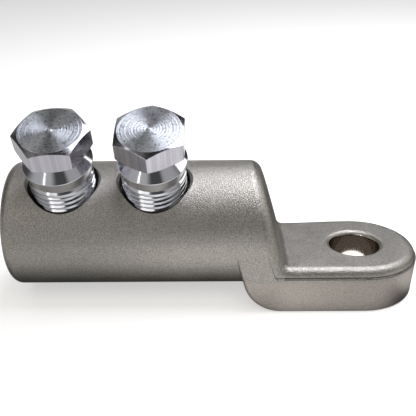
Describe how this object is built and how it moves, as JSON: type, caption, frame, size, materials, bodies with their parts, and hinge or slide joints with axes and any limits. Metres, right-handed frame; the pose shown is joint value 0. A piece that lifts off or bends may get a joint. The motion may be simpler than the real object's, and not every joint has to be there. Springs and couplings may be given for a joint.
{
  "type": "bolted cable lug",
  "caption": "Cable lug whose round barrel clamps a conductor under leaning shear-head bolts, with a stepped-down flat palm and a round hole for a terminal bolt.",
  "frame": {"origin": "on the axis of the palm hole, at the palm's contact face", "axes": "+X runs from the cable entry towards the palm's nose, +Z is normal to the palm and points away from its contact face, and the bolt heads lean towards -Y"},
  "size_m": [0.106, 0.0376, 0.0521],
  "materials": {
    "tin_plate": "forged aluminium, satin tin plate",
    "bolt_metal": "bright machined alloy"
  },
  "bodies": {
    "lug_body": {"lug_body": "tin_plate"},
    "cable_side_bolt": {"cable_side_bolt": "bolt_metal"},
    "palm_side_bolt": {"palm_side_bolt": "bolt_metal"}
  },
  "joints": [
    {"name": "cable_side_bolt_travel", "type": "slide", "parent": "lug_body", "child": "cable_side_bolt", "axis": [0, -0.4147, 0.91], "range_m": [-0.0075, 0.003]},
    {"name": "palm_side_bolt_travel", "type": "slide", "parent": "lug_body", "child": "palm_side_bolt", "axis": [0, -0.4147, 0.91], "range_m": [-0.0075, 0.003]}
  ]
}
